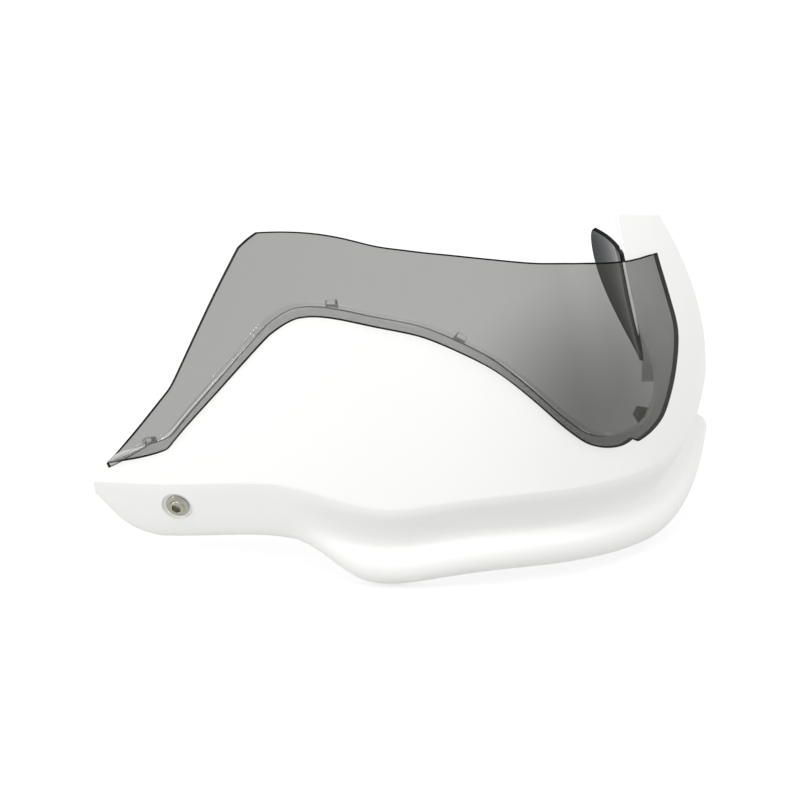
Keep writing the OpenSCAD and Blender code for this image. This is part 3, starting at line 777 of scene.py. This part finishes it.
@dataclass
class Deflector:
    """Smoke sheet: a flange on the shell, a step, the free sheet, and an ear at the outer end."""

    wall: float = 3.0
    gap: float = 0.3
    flange_w: float = 6.5
    step_in: float = 1.6
    step_w: float = 3.0
    step_end: float = 9.6
    step_fade: float = 0.8
    rim_round: float = 0.9
    edge_step: float = 1.1
    ear_depth: float = 41.0
    ear_wall: float = 2.6
    ear_round: float = 0.8
    lug_w: float = 5.5
    lug_wall: float = 2.2
    lug_gap: float = 1.2
    lug_root: float = 2.4
    lug_round: float = 9.5
    lug_edge: float = 0.3
    lug_hole_d: float = 3.2
    lug_steps: int = 24
    web_top: float = 1.2
    cols: int = 330
    rows: int = 76
    ear_cols: int = 60
    ear_rows: int = 30
    outline: list[Point] = field(default_factory=lambda: [
        (0.6, 10.8, 0.6, 11.6), (0.85, 11.6, 0.78, 15), (1.15, 12.9, 1, 21.5), (1.42, 14.4, 1.2, 27.5),
        (1.73, 16.9, 1.42, 35.3), (1.92, 19, 1.62, 43), (1.97, 20.6, 1.78, 49.3),
        (2.02, 22.8, 1.88, 53.2), (2.2, 30, 2, 62.5), (2.48, 40, 2.18, 76.5), (2.76, 50, 2.36, 90.5),
        (3.03, 60, 2.53, 103.5), (3.3, 70, 2.7, 115.5), (3.55, 79, 2.83, 124.5),
        (3.57, 79.5, 2.83, 124.5), (3.8, 85.5, 2.97, 128.8), (4, 89, 3.12, 131.9),
        (4.03, 89.4, 3.12, 131.9), (4.25, 91.6, 3.45, 132.3), (4.6, 93.6, 3.95, 132.9),
        (5.06, 95.2, 4.6, 134.9), (5.5, 95.9, 5.1, 136.2), (5.95, 95.5, 5.7, 136.8),
        (6.35, 92.8, 6.15, 136.4), (6.7, 88.8, 6.7, 132.4), (7.34, 77.5, 7.4, 127.3),
        (7.92, 67.5, 8.05, 123.7), (8.44, 53.5, 8.75, 120.7), (8.75, 44.5, 9.15, 119.6),
        (9, 36.5, 9.5, 118.7), (9.2, 30.8, 9.75, 117.9), (9.36, 26.5, 9.95, 117.1),
        (9.52, 22.6, 10.12, 116.5), (9.7, 20.2, 10.28, 115.9), (9.87, 18.6, 10.43, 115.2),
        (10.04, 17.8, 10.56, 114.6), (10.19, 17.6, 10.68, 114), (10.32, 18.3, 10.78, 113.4),
        (10.43, 19.5, 10.86, 112.9), (10.45, 19.7, 10.88, 112.8), (10.55, 17.5, 10.97, 112.3),
        (10.57, 17.4, 10.98, 112.2), (10.74, 18.4, 11.09, 111.5), (10.92, 20, 11.2, 110.8),
        (11.18, 23.3, 11.36, 109.6), (11.32, 27, 11.45, 108.9), (11.44, 31, 11.54, 108.3),
        (11.68, 39.5, 11.68, 107.2), (11.88, 48.7, 11.82, 106), (12.04, 56.5, 11.95, 104.9),
        (12.12, 64, 12.05, 103.9), (12.12, 75, 12.11, 103.1), (12.17, 89, 12.17, 102.3),
        (12.23, 98, 12.22, 101.8), (12.26, 100.8, 12.26, 101.3)])
    ear: list[Point] = field(default_factory=lambda: [
        (11.02, 57, 0.02), (11.04, 62, 0.22), (11.07, 71, 0.6), (11.12, 83, 0.93), (11.17, 95, 1.03),
        (11.24, 104, 1.02), (11.3, 110, 0.97), (11.33, 113.8, 0.86)])

    def place(self, u: float, v: float) -> Vector:
        """Point of the outer face for shares of the way along the sheet and up from its lower edge."""
        low_t, low_h, top_t, top_h = curve(self.outline, -1 + u * (len(self.outline) + 1))
        long = (SKIN.point(top_t, top_h) - SKIN.point(low_t, low_h)).length
        room = self.flange_w + self.step_w
        k = min(1.0, long / (2 * room))
        edge = min(self.edge_step, long / 8)
        half = self.rows // 2
        x = (from_edge(v * 2, half, 0, room * k, edge) if v < 0.5
             else from_edge(2 - v * 2, half, long, room * k, -edge))
        g = x / long
        t = blend(low_t, top_t, g)
        return SKIN.off(t, blend(low_h, top_h, g), self.stand_off(t, x / k))

    def stand_off(self, t: float, x: float) -> float:
        """How far the outer face stands off the shell's skin, at a distance x from the lower edge."""
        fade = ease((t - self.step_end) / self.step_fade)
        step = self.step_in * ease((x - self.flange_w) / self.step_w) * (1 - fade)
        return self.gap + self.wall - step

    @staticmethod
    def ear_reach(v: float) -> Vector:
        """The ear's section, for a share of its depth: it points straight back and curls inwards."""
        return Vector((-0.24 * v * (1 - v) - 0.42 * v * v, 1.2 * v * (1 - v) + 0.95 * v * v, 0))

    def ear_place(self, u: float, v: float) -> Vector:
        """Point of the ear's face for shares of the way up its root and back to its edge."""
        t, h, reach = curve(self.ear, -1 + u * (len(self.ear) + 1))
        along = self.ear_reach(v + 0.05) - self.ear_reach(v - 0.05)
        side = along.cross(Vector((0, 0, 1))).normalized()
        root = SKIN.off(t, h, self.gap + 1)
        return root + self.ear_reach(v) * self.ear_depth * reach + side * (self.ear_wall / 2)

    def build(self) -> None:
        """Bends the sheet and the ear, gives them their walls and makes them one with the lugs."""
        smoke, rim, ear_smoke = SMOKE_POLYCARBONATE.material(), SMOKE_RIM.material(), SMOKE_EAR.material()
        piece = bent_sheet("deflector_sheet", self.cols, self.rows, self.place, self.wall, self.rim_round,
                           (smoke, rim))
        ear = bent_sheet("ear", self.ear_cols, self.ear_rows, lambda u, v: self.ear_place(v, u),
                         self.ear_wall, self.ear_round, (ear_smoke, rim))
        join_shape(piece, ear, "UNION")
        for name, where in LUGS.items():
            lug = self.lug(f"lug_{name}", SKIN.station(*where))
            lug.data.materials.clear()
            lug.data.materials.append(smoke)
            join_shape(piece, lug, "UNION")
        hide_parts("deflector")
        dress(piece, None, Slot.SMOKE)

    def lug(self, name: str, place: Matrix) -> bpy.types.Object:
        """Lug: a web inside the rim and a round-ended plate that reaches down behind the shell.

        Args:
            name: Name of the lug.
            place: Its place on the rim.

        Returns:
            The closed lug, with its screw hole.
        """
        back = -Shell.wall - LUG_BOSS_H - LUG_CLEAR - self.lug_wall
        top = self.lug_gap + self.lug_root
        half = self.lug_w / 2
        round_r = self.lug_round / 2
        bm = bmesh.new()
        low = math.asin((round_r - half) / (top - LUG_HOLE_Y)) if round_r > half else 0.0
        arc = [math.pi - low + (math.pi + 2 * low) * k / self.lug_steps for k in range(self.lug_steps + 1)]
        corners = [(half, top), (-half, top)] + [
            (round_r * math.cos(a), LUG_HOLE_Y + round_r * math.sin(a)) for a in arc]
        draw_out(bm, [(x * MM, y * MM, back * MM) for x, y in corners], (0, 0, self.lug_wall * MM))
        round_edges(bm, [e for e in bm.edges if e.calc_face_angle(0) > 1], self.lug_edge, 2)
        bmesh.ops.transform(bm, matrix=place, verts=bm.verts)
        piece = finish_mesh(name, bm)
        web = bmesh.new()
        bmesh.ops.create_cube(web, size=MM)
        bmesh.ops.scale(web, vec=(self.lug_w, self.lug_root, self.web_top - back), verts=web.verts)
        bmesh.ops.translate(web, vec=(0, (self.lug_gap + self.lug_root / 2) * MM,
                                      (self.web_top + back) / 2 * MM), verts=web.verts)
        round_edges(web, web.edges, self.lug_edge, 2)
        bmesh.ops.transform(web, matrix=place, verts=web.verts)
        join_shape(piece, finish_mesh(f"{name}_web", web), "UNION")
        hole = plug(f"{name}_cutter", self.lug_hole_d / 2, back - 1, back + self.lug_wall + 1,
                    place @ Matrix.Translation((0, LUG_HOLE_Y * MM, 0)), 32)
        join_shape(piece, hole, "DIFFERENCE")
        return piece


@dataclass
class Bracket:
    """Folded arm with the ring at the bar end."""

    round_mm: float = 0.7

    def build(self) -> None:
        """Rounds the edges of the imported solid."""
        piece = rounded_copy("bracket_casting", "bracket", self.round_mm)
        dress(piece, POWDER_COAT.material(), Slot.CASTING)


@dataclass
class BarEndRings:
    """Stepped disc and spacer ring, turned about the bar's axis."""

    ring_bore: float = 28.0
    ring_len: float = 22.0
    disc_d: float = 39.0
    disc_t: float = 8.0
    disc_bore: float = 15.2
    recess: float = 2.6
    spacer_bore: float = 20.6
    spacer_len: float = 5.6
    spacer_gap: float = 0.2
    seat_lip: float = 0.4
    seat_gap: float = 0.2

    def axis(self, x: float) -> Matrix:
        """Place on the bar's axis with local Z outboard."""
        return Matrix.Translation((x * MM, 0, 0)) @ Matrix.Rotation(math.pi / 2, 4, "Y")

    def build(self) -> None:
        """Turns both rings."""
        rim = self.disc_d / 2
        hole = self.disc_bore / 2
        seat = self.ring_bore / 2 + self.seat_lip
        top = self.disc_t
        disc = turned("stepped_disc", [
            (seat + 0.2, 0), (rim - 0.6, 0), (rim - 0.2, 0.15), (rim, 0.6), (rim, top - 1.2),
            (rim - 0.35, top - 0.4), (rim - 1.2, top), (hole + 0.6, top), (hole + 0.15, top - 0.15),
            (hole, top - 0.6), (hole, self.recess + 0.3), (hole + 0.3, self.recess),
            (seat - 0.2, self.recess), (seat, self.recess - 0.2), (seat, 0.2)],
            self.axis(self.ring_len + self.seat_gap), 128)
        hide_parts("bar_end_disc")
        dress(disc, TURNED_ALUMINIUM.material(), Slot.TURNED)
        outer = seat - self.spacer_gap
        inner = self.spacer_bore / 2
        end = self.spacer_len
        start = self.ring_len + self.recess - self.spacer_len
        ring = turned("spacer", [
            (inner + 0.2, 0), (outer - 0.4, 0), (outer - 0.1, 0.12), (outer, 0.4), (outer, end - 0.4),
            (outer - 0.12, end - 0.1), (outer - 0.4, end), (inner + 0.2, end), (inner, end - 0.2),
            (inner, 0.2)], self.axis(start), 96)
        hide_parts("spacer_ring")
        dress(ring, BARRELLED_ALUMINIUM.material(), Slot.ALLOY)


@dataclass
class LeverFixings:
    """Bush, screw and clip nut at the shell's inner end."""

    screw_d: float = 6.0
    head_d: float = 13.0
    head_h: float = 3.4
    length: float = 20.0
    socket: float = 5.0
    pitch: float = 1.0
    turns: int = 13
    turn_steps: int = 28
    bush_d: float = Shell.bush_d
    boss_h: float = Shell.boss_h
    sink_depth: float = Shell.sink_depth
    bush_proud: float = 0.2
    sheet: float = 0.9
    clip_clear: float = 0.4
    clip_gap: float = 2.6
    nut_d: float = 10.0
    nut_h: float = 4.5

    def build(self) -> None:
        """Builds the fixings in the order in which they go on."""
        self.bush()
        self.screw()
        clip = rounded_copy("spring_clip", "clip_nut_clip", 0.2)
        dress(clip, SPRING_STEEL.material(), Slot.SPRING)
        self.nut_barrel()

    def bush(self) -> None:
        """Metal bush, with chamfered ends."""
        outer = self.bush_d / 2
        inner = self.screw_d / 2 + 0.3
        low = -self.boss_h - self.bush_proud
        top = self.boss_h + self.bush_proud - self.sink_depth
        place = SKIN.station(*LEVER) @ Matrix.Translation((0, 0, low * MM))
        piece = turned("bush_sleeve", [
            (inner + 0.3, 0), (outer - 0.3, 0), (outer, 0.3), (outer, top - 0.3), (outer - 0.3, top),
            (inner + 0.3, top), (inner, top - 0.3), (inner, 0.3)], place, 64)
        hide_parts("bush")
        dress(piece, BARRELLED_ALUMINIUM.material(), Slot.ALLOY)

    def screw(self) -> None:
        """Flanged screw with a hexagon socket and a rolled thread."""
        place = SKIN.station(*LEVER) @ Matrix.Translation((0, 0, -self.sink_depth * MM))
        rim = self.head_d / 2
        core = self.screw_d / 2 - 0.55
        shank = self.screw_d / 2 - 0.05
        head = turned("flanged_screw", [
            (0, -self.length), (core - 0.5, -self.length), (core, -self.length + 0.5),
            (core, -self.length * 0.25), (shank, -self.length * 0.22), (shank, 0), (rim - 0.25, 0),
            (rim, 0.2), (rim, 1), (rim - 0.25, 1.25), (rim - 1.6, 1.7), (rim - 2.1, 2), (rim - 2.3, 2.9),
            (rim - 2.6, self.head_h - 0.15), (rim - 3, self.head_h), (0, self.head_h)], place, 96)
        hexagon = plug("socket_cutter", self.socket / 2 / math.cos(math.pi / 6), self.head_h - 2.4,
                       self.head_h + 1, place, 6)
        join_shape(head, hexagon, "DIFFERENCE")
        join_shape(head, self.thread(place), "UNION")
        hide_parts("lever_screw")
        dress(head, ZINC_STEEL.material(), Slot.ZINC)

    def thread(self, place: Matrix) -> bpy.types.Object:
        """Thread ridge: a triangle carried round the core on a helix."""
        core = self.screw_d / 2 - 0.6
        crest = self.screw_d / 2 - 0.05
        start = -self.length + 0.6
        bm = bmesh.new()
        corners = [(core, start), (crest, start + self.pitch * 0.42), (core, start + self.pitch * 0.84)]
        verts = [bm.verts.new((r * MM, 0, z * MM)) for r, z in corners]
        face = bm.faces.new(verts)
        bmesh.ops.spin(
            bm, geom=[face], cent=(0, 0, 0), axis=(0, 0, 1), dvec=(0, 0, self.pitch * MM / self.turn_steps),
            angle=2 * math.pi * self.turns, steps=self.turn_steps * self.turns)
        bmesh.ops.recalc_face_normals(bm, faces=bm.faces)
        bmesh.ops.transform(bm, matrix=place, verts=bm.verts)
        return finish_mesh("thread", bm, 25)

    def nut_barrel(self) -> None:
        """Round barrel of the clip nut, staked into the clip's back plate."""
        back = -self.boss_h - self.clip_clear - self.sheet * 2 - self.clip_gap
        outer = self.nut_d / 2
        bore = self.screw_d / 2 + 0.05
        low = back - 0.1 - self.nut_h
        piece = turned("nut_barrel", [
            (bore + 0.5, low), (outer - 0.5, low), (outer, low + 0.5), (outer, back - 0.4),
            (outer - 0.3, back - 0.1), (outer - 1, back - 0.1), (outer - 1, back + self.sheet),
            (bore + 0.2, back + self.sheet), (bore, back + self.sheet - 0.2), (bore, low + 0.5)],
            SKIN.station(*LEVER), 64)
        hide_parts("clip_nut_barrel")
        dress(piece, SPRING_STEEL.material(), Slot.SPRING)


@dataclass
class DeflectorScrews:
    """Four small screws that hold the deflector from inside."""

    round_mm: float = 0.25

    def build(self) -> None:
        """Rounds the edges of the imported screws."""
        steel = ZINC_STEEL.material()
        for name in LUGS:
            piece = rounded_copy(f"small_screw_{name}", f"deflector_screw_{name}", self.round_mm, 40)
            dress(piece, steel, Slot.ZINC)


@dataclass
class Studio:
    """White floor, plain soft light, and the camera at the photograph's angle."""

    elevation_deg: float = 25.0
    lens_mm: float = 600.0
    frame_width_mm: float = 437.0
    target_mm: tuple[float, float, float] = (-133.6, -90.0, 4.3)
    floor_gap_mm: float = 0.5
    floor_half: float = 30.0
    floor_grey: float = 0.6
    seen_grey: float = 0.3
    seen_glow: float = 0.75
    surround: float = 0.78

    def build(self) -> None:
        """Builds floor, lights, world and camera."""
        self.floor()
        self.world()
        self.lamp("key", at=(-0.5, -0.7, 1.9), size=1.2, power=14.5)
        self.lamp("fill", at=(1.2, -0.5, 1.3), size=1.0, power=5.8)
        self.lamp("edge", at=(-1.3, -0.6, 0.5), size=0.2, power=4.0)
        self.camera()
        bpy.context.scene.view_settings.view_transform = "Standard"

    def floor(self) -> None:
        """Pale floor just under the guard, white to the camera and through the smoke sheet."""
        bm = bmesh.new()
        bmesh.ops.create_grid(bm, x_segments=1, y_segments=1, size=self.floor_half)
        low = cad_box[0].z - self.floor_gap_mm * MM
        bmesh.ops.translate(bm, vec=(0, 0, low), verts=bm.verts)
        piece = finish_mesh("floor", bm)
        mat, tree = new_material("white_backdrop_paper")
        path = add_node(tree, "LightPath")
        seen = reckon(tree, "MAXIMUM", path.outputs["Is Camera Ray"], path.outputs["Is Glossy Ray"])
        seen = reckon(tree, "MAXIMUM", seen, path.outputs["Is Transmission Ray"])
        plain = add_node(tree, "BsdfDiffuse", {"Color": (*(self.floor_grey,) * 3, 1)})
        soft = add_node(tree, "BsdfDiffuse", {"Color": (*(self.seen_grey,) * 3, 1)})
        glow = add_node(tree, "Emission", {"Color": (1, 1, 1, 1), "Strength": self.seen_glow})
        white = add_node(tree, "AddShader", {0: soft.outputs[0], 1: glow.outputs[0]})
        mix = add_node(tree, "MixShader", {0: seen, 1: plain.outputs[0], 2: white.outputs[0]})
        add_node(tree, "OutputMaterial", {"Surface": mix.outputs[0]})
        piece.data.materials.append(mat)

    def world(self) -> None:
        """Even light from all round."""
        world = bpy.data.worlds.new("studio")
        bpy.context.scene.world = world
        world.use_nodes = True
        world.node_tree.nodes.clear()
        path = add_node(world.node_tree, "LightPath")
        back = add_node(world.node_tree, "Background", {"Color": (1, 1, 1, 1), "Strength": self.surround})
        white = add_node(world.node_tree, "Background", {"Color": (1, 1, 1, 1), "Strength": 1.0})
        mix = add_node(world.node_tree, "MixShader",
                       {0: path.outputs["Is Camera Ray"], 1: back.outputs[0], 2: white.outputs[0]})
        add_node(world.node_tree, "OutputWorld", {"Surface": mix.outputs[0]})

    def lamp(self, name: str, at: tuple[float, float, float], size: float, power: float) -> None:
        """Square soft lamp that faces the guard.

        Args:
            name: Name of the lamp.
            at: Its place in metres.
            size: Its side in metres.
            power: Its power in watts.
        """
        data = bpy.data.lights.new(name, "AREA")
        data.size = size
        data.energy = power
        lamp = bpy.data.objects.new(name, data)
        bpy.context.scene.collection.objects.link(lamp)
        lamp.location = at
        aim = Vector(self.target_mm) * MM - Vector(at)
        lamp.rotation_euler = aim.to_track_quat("-Z", "Y").to_euler()

    def camera(self) -> None:
        """Long lens that looks along +Y and down, as the photograph does."""
        data = bpy.data.cameras.new("camera")
        data.lens = self.lens_mm
        data.clip_end = 200
        camera = bpy.data.objects.new("camera", data)
        bpy.context.scene.collection.objects.link(camera)
        reach = self.frame_width_mm / data.sensor_width * self.lens_mm * MM
        down = math.radians(self.elevation_deg)
        camera.location = Vector(self.target_mm) * MM + Vector((0, -math.cos(down), math.sin(down))) * reach
        camera.rotation_euler = (math.pi / 2 - down, 0, 0)
        bpy.context.scene.camera = camera


def main() -> None:
    """Builds every piece of the guard, then the studio."""
    logging.basicConfig(level=logging.INFO, format="%(message)s")
    for part in (Shell(), Deflector(), Bracket(), BarEndRings(), LeverFixings(), DeflectorScrews(), Studio()):
        log.info("building %s", type(part).__name__)
        part.build()


if __name__ == "__main__":
    main()
